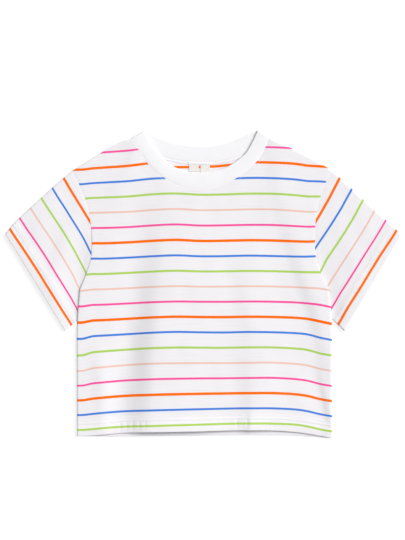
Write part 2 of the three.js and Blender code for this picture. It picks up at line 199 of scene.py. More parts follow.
# Sleeves: a place inside, the top fold from the shoulder tip to the cuff, the lower end of the cuff,
# and the place beside the body's side edge where the lower fold comes out
SLEEVES = {
    "sleeve_right": {
        "inside": (-0.215, 0.05),
        "armhole": ARMHOLE_RIGHT,
        "top_fold": [(-0.1994, 0.1458), (-0.2347, 0.1139), (-0.2652, 0.0854), (-0.2774, 0.0704)],
        "tuck": (-0.1770, -0.0516),
        "cuff_end": (-0.1936, -0.0654),
    },
    "sleeve_left": {
        "inside": (0.215, 0.05),
        "armhole": ARMHOLE_LEFT,
        "top_fold": [(0.1992, 0.1418), (0.2322, 0.1112), (0.2636, 0.0828), (0.2774, 0.0696)],
        "tuck": (0.1798, -0.0490),
        "cuff_end": (0.1971, -0.0656),
    },
}
UNDERARM_SHARE = 0.19
NECK_START = 0.222
NECK_END = 0.755
UNDERARM_ROW = 0.53

# Soft folds. Each has rows of a place across and up the garment with the rise of the cloth there,
# and how wide it fades towards the wearer's right of the line and towards the wearer's left of it
BODY_FOLDS = [
    {
        "right": 0.026,
        "left": 0.085,
        "rows": [
            (-0.044, 0.150, 0.0002), (-0.052, 0.079, 0.0015), (-0.059, 0.008, 0.0026),
            (-0.064, -0.063, 0.0034), (-0.068, -0.134, 0.0039), (-0.073, -0.206, 0.0039),
        ],
    },
    {
        "right": 0.024,
        "left": 0.024,
        "rows": [
            (-0.078, 0.150, -0.0001), (-0.086, 0.079, -0.0010), (-0.093, 0.008, -0.0016),
            (-0.101, -0.063, -0.0021), (-0.107, -0.134, -0.0022), (-0.113, -0.206, -0.0014),
        ],
    },
    {
        "right": 0.011,
        "left": 0.013,
        "rows": [(-0.148, -0.095, 0.0002), (-0.142, -0.150, 0.0009), (-0.139, -0.205, 0.0008)],
    },
    {
        "right": 0.018,
        "left": 0.034,
        "rows": [
            (0.060, 0.080, 0.0001), (0.066, -0.022, 0.0011), (0.070, -0.106, 0.0015),
            (0.069, -0.205, 0.0016),
        ],
    },
    {
        "right": 0.006,
        "left": 0.010,
        "rows": [(0.068, -0.170, 0.0001), (0.066, -0.190, 0.0005), (0.065, -0.206, 0.0008)],
    },
    {
        "right": 0.045,
        "left": 0.014,
        "rows": [
            (0.080, 0.203, -0.0001), (0.086, 0.139, -0.0002), (0.101, 0.075, -0.0006),
            (0.122, 0.011, -0.0009), (0.144, -0.053, -0.0010), (0.158, -0.117, -0.0008),
            (0.168, -0.181, -0.0002),
        ],
    },
    {
        "right": 0.014,
        "left": 0.026,
        "rows": [
            (0.098, 0.203, 0.0002), (0.106, 0.139, 0.0004), (0.121, 0.075, 0.0006),
            (0.142, 0.011, 0.0008), (0.164, -0.053, 0.0009), (0.175, -0.117, 0.0007),
            (0.182, -0.181, 0.0001),
        ],
    },
    {
        "right": 0.012,
        "left": 0.005,
        "rows": [
            (0.154, -0.112, -0.0001), (0.158, -0.134, -0.0005), (0.163, -0.155, -0.0006),
            (0.171, -0.197, -0.0004),
        ],
    },
    {
        "right": 0.005,
        "left": 0.010,
        "rows": [
            (0.163, -0.112, 0.0001), (0.167, -0.134, 0.0003), (0.172, -0.155, 0.0005),
            (0.180, -0.197, 0.0004),
        ],
    },
    {
        "right": 0.009,
        "left": 0.016,
        "rows": [(-0.093, 0.199, 0.0006), (-0.104, 0.163, 0.0006), (-0.131, 0.121, 0.0001)],
    },
]
SLEEVE_FOLDS = {
    "sleeve_right": [
        {
            "right": 0.026,
            "left": 0.012,
            "rows": [(-0.160, 0.070, -0.0006), (-0.172, 0.020, -0.0017), (-0.181, -0.050, -0.0018)],
        },
        {
            "right": 0.010,
            "left": 0.014,
            "rows": [(-0.176, 0.110, 0.0002), (-0.196, 0.052, 0.0007), (-0.216, 0.000, 0.0004)],
        },
        {
            "right": 0.012,
            "left": 0.018,
            "rows": [(-0.206, 0.118, 0.0001), (-0.232, 0.080, 0.0004), (-0.254, 0.044, 0.0002)],
        },
    ],
    "sleeve_left": [
        {
            "right": 0.010,
            "left": 0.014,
            "rows": [(0.162, 0.060, -0.0003), (0.172, 0.016, -0.0009), (0.184, -0.048, -0.0011)],
        },
        {
            "right": 0.011,
            "left": 0.018,
            "rows": [(0.182, 0.100, 0.0001), (0.202, 0.050, 0.0003), (0.226, -0.006, 0.0002)],
        },
        {
            "right": 0.012,
            "left": 0.018,
            "rows": [(0.206, 0.116, 0.0001), (0.232, 0.080, 0.0003), (0.250, 0.046, 0.0002)],
        },
    ],
}

# Short puckers that the hem's stitches draw up, by their place across the front
HEM_PUCKERS_X = [-0.1163, -0.1073, -0.0993, -0.0895, -0.0814, 0.0470, 0.0617]
PUCKER_DEPTH = 0.00035
PUCKER_WIDTH = 0.0018
PUCKER_MIDDLE = 0.0100
PUCKER_REACH = 0.0060

# Stripes: five colours in turn, a fixed pitch apart, counted up from a pink one. Each row is the
# red, green and blue of the yarn and the stripe's width as a share of the widest
STRIPE_PITCH = 0.02141
WIDEST_STRIPE = 0.0037
PINK_HEIGHT = 0.18904
STRIPE_COLOURS = [
    (0.88, 0.088, 0.330, 0.79),
    (0.80, 0.510, 0.430, 0.68),
    (0.40, 0.610, 0.110, 0.82),
    (0.060, 0.210, 0.680, 0.80),
    (0.94, 0.150, 0.000, 1.00),
]
CLOTH_COLOUR = (0.80, 0.785, 0.808)
RIB_COLOUR = (0.858, 0.848, 0.866)
THREAD_COLOUR = (0.84, 0.83, 0.845)
LABEL_COLOUR = (0.82, 0.795, 0.765)
STRIPE_TEETH = 0.00008
STRIPE_BLUR = 0.0003

# Grey tones that multiply the colours: the base, and what each pattern adds to it
# On the jersey the doubled share is partly the whiter doubled cloth and partly a painted highlight
# along the hems
JERSEY_TONES = {"base": 0.928, "streaks": 0.11, "blotches": 0.03, "knit": 0.03, "doubled": 0.045}
RIB_TONES = {"base": 0.96, "grain": 0.04, "knit": 0.03}
THREAD_TONES = {"base": 0.96, "twist": 0.03}
LABEL_TONES = {"base": 0.93, "grain": 0.08, "weave": 0.02}

# Knitting: the width of a column of stitches and the height of a row, the slant and swing of the
# loops and the depth of the gaps. Then the weave of the labels, and the gloss that all cloth has
WALE, COURSE = 0.0009, 0.00065
RIB_WALE, RIB_COURSE = 0.0010, 0.0007
LOOP_LEAN, LOOP_SWING, LOOP_MEAN = 1.1, 0.22, 0.6
GAP_DEPTH = 2.0
KNIT_RELIEF = 0.00012
THREAD_TWIST = 9000.0
WARP_PITCH, WEFT_PITCH = 0.0004, 0.0006
WEAVE_RELIEF = 0.00005
NOISE_ROUGHNESS = 0.6
CLOTH_SPECULAR = 0.08
SHEEN_ROUGHNESS = 0.6

# Stripes of the front, in millimetres: a place across it, then how far above their even places the
# first, fourth, seventh, tenth, twelfth, fourteenth and eighteenth stripe below the top pink one lie
DRIFT_STRIPES = (1, 4, 7, 10, 12, 14, 18)
STRIPE_DRIFT = [
    (-177, -8.0, -4.6, -5.0, -5.9, -8.2, -11.4, -7.8),
    (-168, -7.6, -4.4, -4.6, -5.6, -7.8, -10.8, -7.6),
    (-156, -6.0, -3.6, -3.5, -4.1, -5.0, -7.1, -6.7),
    (-139, -4.6, -3.2, -3.5, -3.6, -3.9, -5.3, -5.0),
    (-106, -2.2, -2.2, -2.1, -2.0, -2.2, -2.5, -2.9),
    (-72, 1.8, 0.3, -0.2, -0.2, 0.1, -0.4, -1.8),
    (-38, 2.4, 1.7, 1.1, 0.8, 1.2, 0.3, -0.8),
    (-5, 0.8, 0.1, -0.2, 0.5, 0.6, 0.5, 0.0),
    (29, 1.2, 0.4, 0.0, 0.4, 0.3, 0.3, 1.0),
    (62, 2.9, 1.1, 0.7, 0.8, 1.0, 0.7, 1.5),
    (96, 2.5, 1.1, 0.2, 0.5, 0.6, 1.0, 1.3),
    (130, 0.6, -1.0, -0.6, -0.6, -0.8, -1.1, -0.4),
    (146, -1.8, -2.2, -0.6, -1.9, -2.5, -3.2, -2.9),
    (163, -2.8, -2.0, 0.0, -3.6, -6.8, -7.9, -6.9),
    (180, -4.6, -3.0, -2.0, -6.9, -10.2, -10.8, -9.8),
]
BACK_DRIFT_X = (-0.010, 0.018, 0.045)
BACK_DRIFT = (-0.0037, -0.0026, 0.0002)

# Stripes of the sleeves, in millimetres: a place along the cuff from its upper end, then how far
# in from the cuff the orange, pink, peach, green, blue and second orange stripes lie there
SLEEVE_STRIPES = {
    "sleeve_right": [
        (-20, 9.2, 28.8, 49.0, 69.3, 89.8, 110.4),
        (-5, 9.3, 28.9, 49.1, 69.4, 89.6, 110.1),
        (10, 9.5, 29.3, 49.5, 69.8, 90.0, 110.0),
        (25, 10.2, 30.2, 50.1, 70.3, 90.1, 110.0),
        (40, 10.8, 30.9, 50.8, 70.7, 90.2, 109.9),
        (55, 11.1, 31.3, 51.0, 70.5, 90.2, 109.9),
        (70, 11.5, 31.4, 51.1, 70.0, 89.4, 109.4),
        (85, 11.5, 31.2, 50.7, 69.1, 87.9, 108.0),
        (100, 11.6, 31.3, 50.2, 67.8, 87.0, 107.0),
        (115, 11.6, 31.3, 48.2, 67.0, 87.0, 107.0),
        (130, 11.7, 31.0, 48.0, 67.0, 87.0, 107.0),
        (150, 12.1, 29.5, 48.0, 67.0, 87.0, 107.0),
    ],
    "sleeve_left": [
        (-20, 9.2, 29.2, 49.5, 71.0, 92.3, 114.8),
        (-5, 9.2, 29.1, 49.4, 70.8, 92.0, 113.8),
        (10, 9.3, 29.0, 49.0, 69.9, 91.4, 113.0),
        (25, 10.1, 29.2, 49.0, 69.9, 91.6, 112.7),
        (40, 10.9, 29.7, 49.4, 70.1, 92.0, 112.4),
        (55, 11.2, 30.1, 49.9, 70.8, 92.7, 112.9),
        (70, 11.4, 30.4, 50.5, 71.6, 93.7, 113.7),
        (85, 11.5, 30.8, 51.1, 72.3, 94.0, 114.0),
        (100, 11.8, 31.2, 51.6, 71.1, 92.0, 112.0),
        (115, 12.3, 31.8, 52.0, 71.0, 92.0, 112.0),
        (130, 12.5, 31.5, 52.0, 71.0, 92.0, 112.0),
        (150, 12.0, 31.5, 52.0, 71.0, 92.0, 112.0),
    ],
}


# Curves


def smooth_line(rows, samples=60):
    """A centripetal Catmull-Rom curve through the rows, as a function of its share of length."""
    points = np.array(rows, float)
    padded = np.vstack([2 * points[0] - points[1], points, 2 * points[-1] - points[-2]])
    runs = []
    for index in range(len(points) - 1):
        p = padded[index : index + 4]
        gaps = np.sqrt(np.linalg.norm(np.diff(p, axis=0), axis=1))
        k = np.concatenate([[0.0], np.cumsum(gaps)])
        t = np.linspace(k[1], k[2], samples, endpoint=False)[:, None]
        a = [((k[i + 1] - t) * p[i] + (t - k[i]) * p[i + 1]) / gaps[i] for i in range(3)]
        b = [((k[i + 2] - t) * a[i] + (t - k[i]) * a[i + 1]) / (k[i + 2] - k[i]) for i in (0, 1)]
        runs.append(((k[2] - t) * b[0] + (t - k[1]) * b[1]) / gaps[1])
    dense = np.vstack([*runs, points[-1:]])
    return along_points(dense)


def along_points(dense):
    lengths = np.concatenate([[0.0], np.cumsum(np.linalg.norm(np.diff(dense, axis=0), axis=1))])
    shares = lengths / lengths[-1]

    def line(share):
        return np.stack([np.interp(share, shares, dense[:, axis]) for axis in (0, 1)], axis=-1)

    line.length = lengths[-1]
    return line


def straight_line(start, end):
    return along_points(np.array([start, end], float))


def reversed_line(line):
    def back(share):
        return line(1 - np.asarray(share))

    back.length = line.length
    return back


def chain(lines, stops):
    """One line of several, each of which takes the shares between two stops."""

    def line(share):
        share = np.asarray(share, float)
        part = np.clip(np.searchsorted(stops, share, side="left") - 1, 0, len(lines) - 1)
        result = np.zeros((*share.shape, 2))
        for index, piece in enumerate(lines):
            mine = part == index
            width = stops[index + 1] - stops[index]
            result[mine] = piece((share[mine] - stops[index]) / width)
        return result

    return line


def patch(bottom, top, left, right, columns, rows):
    """Points of the surface between four boundary lines that meet at their ends."""
    u = np.asarray(columns)[:, None, None]
    v = np.asarray(rows)[None, :, None]
    low = bottom(columns)[:, None, :]
    high = top(columns)[:, None, :]
    near = left(rows)[None, :, :]
    far = right(rows)[None, :, :]
    corners = (
        low[:1] * (1 - u) * (1 - v)
        + low[-1:] * u * (1 - v)
        + high[:1] * (1 - u) * v
        + high[-1:] * u * v
    )
    return low * (1 - v) + high * v + near * (1 - u) + far * u - corners


def steps(length, spacing, at_start=False, at_end=False, turns=4, bend_width=FOLD_INSET):
    """Shares of a line: close together beside a fold or seam, and a spacing apart in between."""
    inset = bend_width / length
    bend = inset * (1 - np.cos(np.linspace(0, math.pi / 2, turns + 1)))[:-1]
    start = inset if at_start else 0.0
    end = 1 - inset if at_end else 1.0
    count = max(2, round((end - start) * length / spacing))
    middle = np.linspace(start, end, count + 1)
    parts = [bend] * at_start + [middle] + [1 - bend[::-1]] * at_end
    return np.concatenate(parts)


def with_extra(shares, extra):
    """The shares and the extra ones among them, without any that nearly coincide."""
    both = np.sort(np.concatenate([shares, extra]))
    keep = np.concatenate([[True], np.diff(both) > 1e-5])
    return both[keep]


# Heights


def bell(distance, width):
    return np.exp(-((distance / width) ** 2))


def ease(share):
    """From 0 to 1 with a smooth start and end."""
    share = np.clip(share, 0, 1)
    return share * share * (3 - 2 * share)


def line_distance(line, x, y, samples=240):
    """Distance of the points from a line, and how far along it the nearest place is."""
    knots = line(np.linspace(0, 1, samples + 1))
    start, run = knots[:-1], np.diff(knots, axis=0)
    points = np.stack([x, y], axis=-1).reshape(-1, 1, 2)
    along = np.clip(((points - start) * run).sum(-1) / (run**2).sum(-1), 0, 1)
    gaps = np.linalg.norm(points - start - along[..., None] * run, axis=-1)
    nearest = gaps.argmin(axis=1)
    rows = np.arange(len(points))
    share = (nearest + along[rows, nearest]) / samples
    return gaps[rows, nearest].reshape(x.shape), share.reshape(x.shape)


def fold_rise(folds, x, y):
    """How far the soft folds raise the cloth over the points."""
    total = np.zeros_like(x)
    for fold in folds:
        line = smooth_line([row[:2] for row in fold["rows"]])
        distance, share = line_distance(line, x, y, 60)
        widths = np.where(x < line(share)[..., 0], fold["right"], fold["left"])
        stops = np.linspace(0, 1, len(fold["rows"]))
        rises = [row[2] for row in fold["rows"]]
        total += np.interp(share, stops, rises) * bell(distance, widths)
    return total


def find_fold(lines, inside, x, y, samples=96):
    """Distance of the points from the nearest fold line, and the way inwards from it."""
    best = np.full(x.shape, np.inf)
    inwards = np.zeros((*x.shape, 2))
    for line in lines:
        distance, share = line_distance(line, x, y, samples)
        index = np.clip((share * samples).astype(int), 0, samples - 1)
        knots = line(np.linspace(0, 1, samples + 1))
        run = np.diff(knots, axis=0)
        normal = np.stack([-run[:, 1], run[:, 0]], axis=-1)
        normal /= np.linalg.norm(normal, axis=1)[:, None]
        towards = ((np.array(inside) - knots[:-1]) * normal).sum(-1)
        normal *= np.where(towards < 0, -1.0, 1.0)[:, None]
        closer = distance < best
        best = np.where(closer, distance, best)
        inwards = np.where(closer[..., None], normal[index], inwards)
    return np.where(best < ON_FOLD, 0.0, best), inwards


def ripple(x, y):
    """A faint unevenness that the cloth has all over."""
    bends = np.sin(y * RIPPLE_BENDS)
    return sum(
        height * np.sin(x * across + y * along + start + bend * bends)
        for height, across, along, start, bend in RIPPLES
    )


# Lines that several pieces share
side_right = smooth_line(SIDE_RIGHT)
side_left = smooth_line(SIDE_LEFT)
armhole_right = smooth_line(ARMHOLE_RIGHT)
armhole_left = smooth_line(ARMHOLE_LEFT)
shoulder_right = smooth_line(SHOULDER_RIGHT)
shoulder_left = smooth_line(SHOULDER_LEFT)
front_hem = smooth_line(FRONT_HEM)
back_hem = smooth_line(BACK_HEM)
front_seam = smooth_line([row[:2] for row in FRONT_BAND])
back_seam = smooth_line([row[:2] for row in BACK_BAND])
front_free = smooth_line([row[2:] for row in FRONT_BAND])
back_free = smooth_line([row[2:] for row in BACK_BAND])
body_folds = [side_right, side_left, shoulder_right, shoulder_left]


def seam_dip(lines, x, y):
    """How far the cloth turns down into its seams."""
    nearest = np.minimum.reduce([line_distance(line, x, y)[0] for line in lines])
    return SEAM_DIP * bell(nearest, SEAM_DIP_WIDTH)


def hem_relief(distance, across):
    """The hem's rounded edge, the two grooves that its stitches pull in, and the swell between."""
    edge = EDGE_ROUND * np.clip(1 - distance / EDGE_WIDTH, 0, 1) ** 2
    fast, slow = STITCH_DIP_TURNS
    uneven = 1 + STITCH_DIP_VARIES * np.sin(across * fast) * np.sin(across * slow + 1.0)
    grooves = sum(STITCH_DIP * bell(distance - row, STITCH_DIP_WIDTH) for row in HEM_ROWS)
    swell = sum(height * bell(distance - place, width) for height, place, width in HEM_SWELLS)
    doubled = HEM_EXTRA * ease((HEM_STEP_TOP - distance) / HEM_STEP_WIDTH)
    return doubled + swell - edge - grooves * uneven


def body_height(x, y):
    from_hem, _ = line_distance(front_hem, x, y)
    near_hem = (1 - np.clip(from_hem / HEM_SINK_LENGTH, 0, 1)) ** 2
    sink = (HEM_SINK - HEM_LIFT * bell(x - HEM_LIFT_X, HEM_LIFT_WIDTH)) * near_hem
    height = FRONT_HEIGHT - sink + fold_rise(BODY_FOLDS, x, y) + ripple(x, y)
    height += hem_relief(from_hem, x)
    lengthwise = bell(from_hem - PUCKER_MIDDLE, PUCKER_REACH)
    for pucker in HEM_PUCKERS_X:
        height -= PUCKER_DEPTH * bell(x - pucker, PUCKER_WIDTH) * lengthwise
    height -= seam_dip([armhole_right, armhole_left, front_seam], x, y)
    from_neck, _ = line_distance(front_seam, x, y)
    height -= TOPSTITCH_DIP * bell(from_neck - TOPSTITCH_OFFSET, TOPSTITCH_WIDTH)
    return height


def back_top(x, y):
    """Extra thickness on the inside of the back panel: its hem is turned up there."""
    from_hem, _ = line_distance(back_hem, x, y)
    allowance = HEM_EXTRA * np.clip((HEM_DEPTH - from_hem) / ALLOWANCE_EDGE, 0, 1)
    return allowance - EDGE_ROUND * np.clip(1 - from_hem / EDGE_WIDTH, 0, 1) ** 2


# Meshes


def layer(plan, folds, inside, front, height, wall, inset=FOLD_INSET, extra=None):
    """Outer and inner points of a cloth layer over the points of the plan."""
    x, y = plan[..., 0], plan[..., 1]
    distance, inwards = find_fold(folds, inside, x, y)
    lean = 1 - np.clip(distance / inset, 0, 1)
    lift = np.sqrt(1 - lean**2)
    flat = height(x, y) if front else np.zeros_like(x)
    outer = np.stack([x, y, FOLD_HEIGHT + (flat - FOLD_HEIGHT) * lift], axis=-1)
    thickness = wall + (extra(x, y) if extra else 0.0)
    inner = outer.copy()
    inner[..., :2] += inwards * (thickness * lean)[..., None]
    inner[..., 2] += (-1 if front else 1) * thickness * lift
    return outer, inner


def grid_faces(count_u, count_v, offset, flip):
    index = np.arange(count_u * count_v).reshape(count_u, count_v) + offset
    corners = [index[:-1, :-1], index[1:, :-1], index[1:, 1:], index[:-1, 1:]]
    faces = np.stack([c.ravel() for c in corners], axis=-1)
    return faces[:, ::-1] if flip else faces


def layer_faces(shape, offset, front, is_open):
    """Faces of both sides of a layer, and of its edges where it isn't folded over."""
    count_u, count_v = shape[:2]
    size = count_u * count_v
    faces = [
        grid_faces(count_u, count_v, offset, not front),
        grid_faces(count_u, count_v, offset + size, front),
    ]
    index = np.arange(size).reshape(count_u, count_v) + offset
    edges = {
        "bottom": index[:, 0],
        "top": index[::-1, -1],
        "left": index[0, ::-1],
        "right": index[-1, :],
    }
    for edge, run in edges.items():
        keep = np.array([is_open(edge, place) for place in range(len(run) - 1)])
        a, b = run[:-1], run[1:]
        strip = np.stack([a + size, b + size, b, a], axis=-1)[keep]
        faces.append(strip if front else strip[:, ::-1])
    return np.vstack(faces)


def make_mesh(name, vertices, faces, maps, material, replaced=()):
    mesh = bpy.data.meshes.new(name)
    mesh.from_pydata(vertices.tolist(), [], [row for block in faces for row in block.tolist()])
    loops = np.zeros(len(mesh.loops), int)
    mesh.loops.foreach_get("vertex_index", loops)
    for map_name, places in maps.items():
        layer_uv = mesh.uv_layers.new(name=map_name)
        layer_uv.data.foreach_set("uv", places[loops].astype(np.float32).ravel())
    work = bmesh.new()
    work.from_mesh(mesh)
    bmesh.ops.remove_doubles(work, verts=work.verts, dist=MERGE_DISTANCE)
    bmesh.ops.dissolve_degenerate(work, edges=work.edges, dist=1e-7)
    bmesh.ops.recalc_face_normals(work, faces=work.faces)
    if work.calc_volume(signed=True) < 0:
        bmesh.ops.reverse_faces(work, faces=work.faces)
    work.to_mesh(mesh)
    work.free()
    mesh.shade_smooth()
    mesh.set_sharp_from_angle(angle=SHARP_ANGLE)
    mesh.materials.append(material)
    piece = bpy.data.objects.new(name, mesh)
    bpy.context.collection.objects.link(piece)
    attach(piece, "root")
    if replaced:
        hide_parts(*replaced)
    return piece


def shell(name, layers, uv_of, material, replaced, hem_of=None):
    """One closed piece of one or two layers. Each layer is its grids, its side and its open edges."""
    vertices, faces, uvs = [], [], []
    offset = 0
    for outer, inner, front, is_open in layers:
        for grid in (outer, inner):
            vertices.append(grid.reshape(-1, 3))
            uvs.append(uv_of(outer[..., 0], outer[..., 1], front).reshape(-1, 2))
        faces.append(layer_faces(outer.shape, offset, front, is_open))
        offset += 2 * outer.shape[0] * outer.shape[1]
    vertices = np.vstack(vertices)
    # A map along the hem that lightens the jersey: partly the whiter doubled cloth, partly a painted
    # highlight
    doubled = np.zeros(len(vertices))
    if hem_of:
        from_hem, _ = line_distance(hem_of, vertices[:, 0], vertices[:, 1])
        doubled = ease((HEM_DEPTH - from_hem) / HEM_PAINTED_LIGHT_FADE + 0.5)
    maps = {"ClothMetres": np.vstack(uvs), "DoubledHemPaintedLight": np.stack([doubled, 0 * doubled], axis=-1)}
    return make_mesh(name, vertices, faces, maps, material, replaced)


def grid_map(shape, first, second):
    """A map whose two coordinates are given for the rows and columns of a grid."""
    return np.stack([np.broadcast_to(first, shape), np.broadcast_to(second, shape)], axis=-1)


def upper_surface(folds, inside, height):
    """The height of a piece's upper side, down to its folds."""

    def surface(x, y):
        distance, _ = find_fold(folds, inside, x, y)
        lift = np.sqrt(1 - (1 - np.clip(distance / FOLD_INSET, 0, 1)) ** 2)
        return FOLD_HEIGHT + (height(x, y) - FOLD_HEIGHT) * lift

    return surface


# Stripe places


def table_line(rows, column):
    """A smooth curve through one column of a table of millimetres, against its first column."""
    dense = smooth_line([(row[0], row[column]) for row in rows])(np.linspace(0, 1, 400))
    return dense[:, 0] / 1000, dense[:, 1] / 1000


def front_drift(x, y):
    columns = range(1, len(DRIFT_STRIPES) + 1)
    stack = np.stack([np.interp(x, *table_line(STRIPE_DRIFT, column)) for column in columns])
    depths = [STRIPE_PITCH * stripe - PINK_HEIGHT for stripe in DRIFT_STRIPES]
    place = np.interp(-y, depths, range(len(depths)))
    low = np.clip(place.astype(int), 0, len(depths) - 2)
    first = np.take_along_axis(stack, low[None], axis=0)[0]
    second = np.take_along_axis(stack, low[None] + 1, axis=0)[0]
    return first + (second - first) * (place - low)


def body_uv(x, y, front):
    drift = front_drift(x, y) if front else np.interp(x, BACK_DRIFT_X, BACK_DRIFT)
    return np.stack([x, y - drift - PINK_HEIGHT], axis=-1)


def sleeve_uv(name):
    spec = SLEEVES[name]
    cuff_top = np.array(spec["top_fold"][-1])
    cuff_end = np.array(spec["cuff_end"])
    run = (cuff_end - cuff_top) / np.linalg.norm(cuff_end - cuff_top)
    inwards = np.array([run[1], -run[0]])
    inwards *= np.sign((np.array(spec["tuck"]) - cuff_end) @ inwards)
    rows = SLEEVE_STRIPES[name]
    stripe_lines = [table_line(rows, column) for column in range(1, len(rows[0]))]

    def uv(x, y, front):
        across = (x - cuff_top[0]) * inwards[0] + (y - cuff_top[1]) * inwards[1]
        along = (x - cuff_top[0]) * run[0] + (y - cuff_top[1]) * run[1]
        places = [np.interp(along, *line) for line in stripe_lines]
        beyond = np.minimum(across - places[0], 0) + np.maximum(across - places[-1], 0)
        stripes = beyond / STRIPE_PITCH
        for near, far in zip(places, places[1:]):
            stripes += np.clip((across - near) / (far - near), 0, 1)
        return np.stack([along, (stripes - 1) * STRIPE_PITCH], axis=-1)

    return uv


# Materials


class Shading:
    """A material, with short ways to add and join its nodes."""

    def __init__(self, name):
        self.material = bpy.data.materials.new(name)
        self.material.use_nodes = True
        self.nodes = self.material.node_tree.nodes
        self.links = self.material.node_tree.links
        self.shader = self.nodes["Principled BSDF"]
        self.settings({"Metallic": 0.0})

    def settings(self, values):
        for name, value in values.items():
            self.shader.inputs[name].default_value = value

    def feed(self, sockets, values):
        for socket, value in zip(sockets, values):
            if hasattr(value, "links"):
                self.links.new(value, socket)
            else:
                socket.default_value = (*value, 1.0) if isinstance(value, tuple) else value

    def math(self, operation, *values, clamp=False):
        node = self.nodes.new("ShaderNodeMath")
        node.operation = operation
        node.use_clamp = clamp
        self.feed(node.inputs, values)
        return node.outputs[0]

    def wave(self, place, pitch):
        return self.math("SINE", self.math("MULTIPLY", place, 2 * math.pi / pitch))

    def mix(self, factor, first, second, blend="MIX"):
        node = self.nodes.new("ShaderNodeMix")
        node.data_type = "RGBA"
        node.blend_type = blend
        self.feed((node.inputs["Factor"], node.inputs[6], node.inputs[7]), (factor, first, second))
        return node.outputs[2]

    def cloth_map(self, name="ClothMetres"):
        """A map of the cloth, and its two coordinates."""
        uv = self.nodes.new("ShaderNodeUVMap")
        uv.uv_map = name
        split = self.nodes.new("ShaderNodeSeparateXYZ")
        self.links.new(uv.outputs[0], split.inputs[0])
        return uv.outputs[0], split.outputs[0], split.outputs[1]

    def noise(self, vector, stretch, detail=3.0):
        mapping = self.nodes.new("ShaderNodeMapping")
        mapping.inputs["Scale"].default_value = (*stretch, 1.0)
        self.links.new(vector, mapping.inputs["Vector"])
        node = self.nodes.new("ShaderNodeTexNoise")
        node.inputs["Scale"].default_value = 1.0
        node.inputs["Detail"].default_value = detail
        node.inputs["Roughness"].default_value = NOISE_ROUGHNESS
        self.links.new(mapping.outputs[0], node.inputs["Vector"])
        return node.outputs[0]

    def knit(self, across, along, wale, course):
        """Columns of V-shaped stitches: 0 in the gaps between the columns and 1 on the stitches."""
        place = self.math("FRACT", self.math("MULTIPLY", across, 1 / wale))
        off_centre = self.math("ABSOLUTE", self.math("SUBTRACT", place, 0.5))
        row = self.math("MULTIPLY", along, 1 / course)
        leaning = self.math("MULTIPLY_ADD", off_centre, LOOP_LEAN, row)
        loops = self.math("MULTIPLY_ADD", self.wave(leaning, 1.0), LOOP_SWING, LOOP_MEAN)
        gap = self.math("MULTIPLY", off_centre, off_centre)
        return self.math("MULTIPLY_ADD", gap, -GAP_DEPTH, loops)

    def bump(self, height, distance, strength):
        bump = self.nodes.new("ShaderNodeBump")
        bump.inputs["Distance"].default_value = distance
        bump.inputs["Strength"].default_value = strength
        self.links.new(height, bump.inputs["Height"])
        self.links.new(bump.outputs[0], self.shader.inputs["Normal"])

    def finish(self, colour, tones, roughness, sheen, **patterns):
        """The colour times a grey tone that the patterns add to, and the cloth's soft gloss."""
        tone = tones["base"]
        for name, pattern in patterns.items():
            tone = self.math("MULTIPLY_ADD", pattern, tones[name], tone)
        grey = self.nodes.new("ShaderNodeCombineColor")
        self.feed(grey.inputs, (tone, tone, tone))
        shaded = self.mix(1.0, colour, grey.outputs[0], "MULTIPLY")
        self.links.new(shaded, self.shader.inputs["Base Color"])
        self.settings(
            {
                "Roughness": roughness,
                "Specular IOR Level": CLOTH_SPECULAR,
                "Sheen Weight": sheen,
                "Sheen Roughness": SHEEN_ROUGHNESS,
            }
        )
        return self.material


def jersey():
    """White single jersey with thin stripes of dyed yarn."""
    cloth = Shading("striped_jersey")
    vector, across, along = cloth.cloth_map()
    phase = cloth.math("DIVIDE", along, STRIPE_PITCH)
    count = cloth.math("FLOOR", cloth.math("ADD", phase, 0.5))
    distance = cloth.math("ABSOLUTE", cloth.math("SUBTRACT", phase, count))
    metres = cloth.math("MULTIPLY", distance, STRIPE_PITCH)
    jagged = cloth.math("MULTIPLY_ADD", cloth.wave(across, WALE), STRIPE_TEETH, metres)
    share = 1 / len(STRIPE_COLOURS)
    turn = cloth.math("FRACT", cloth.math("MULTIPLY_ADD", count, share, share / 2))
    ramp = cloth.nodes.new("ShaderNodeValToRGB")
    ramp.color_ramp.interpolation = "CONSTANT"
    stops = ramp.color_ramp.elements
    for index, colour in enumerate(STRIPE_COLOURS):
        stop = stops[index] if index < 2 else stops.new(share * index)
        stop.position = share * index
        stop.color = colour
    cloth.links.new(turn, ramp.inputs[0])
    half = cloth.math("MULTIPLY", ramp.outputs[1], WIDEST_STRIPE / 2)
    edge = cloth.math("SUBTRACT", half, jagged)
    mask = cloth.math("MULTIPLY_ADD", edge, 1 / STRIPE_BLUR, 0.5, clamp=True)
    knit = cloth.knit(across, along, WALE, COURSE)
    cloth.bump(knit, KNIT_RELIEF, strength=0.35)
    return cloth.finish(
        cloth.mix(mask, CLOTH_COLOUR, ramp.outputs[0]),
        JERSEY_TONES,
        roughness=0.92,
        sheen=0.015,
        streaks=cloth.noise(vector, (22.0, 640.0)),
        blotches=cloth.noise(vector, (35.0, 35.0), detail=2.0),
        knit=knit,
        # Painted highlight along the doubled hem, together with the whiter doubled cloth
        doubled=cloth.cloth_map("DoubledHemPaintedLight")[1],
    )


def rib():
    """Fine knit of the neckband and of the bound seam allowance inside the neck."""
    cloth = Shading("rib_knit")
    vector, across, along = cloth.cloth_map()
    knit = cloth.knit(across, along, RIB_WALE, RIB_COURSE)
    cloth.bump(knit, KNIT_RELIEF, strength=0.3)
    grain = cloth.noise(vector, (400.0, 400.0))
    return cloth.finish(
        RIB_COLOUR, RIB_TONES, roughness=0.92, sheen=0.04, grain=grain, knit=knit
    )


def thread():
    cloth = Shading("sewing_thread")
    _, across, along = cloth.cloth_map()
    turn = cloth.math("MULTIPLY", cloth.math("ADD", across, along), THREAD_TWIST)
    twist = cloth.math("SINE", turn)
    return cloth.finish(THREAD_COLOUR, THREAD_TONES, roughness=0.7, sheen=0.1, twist=twist)


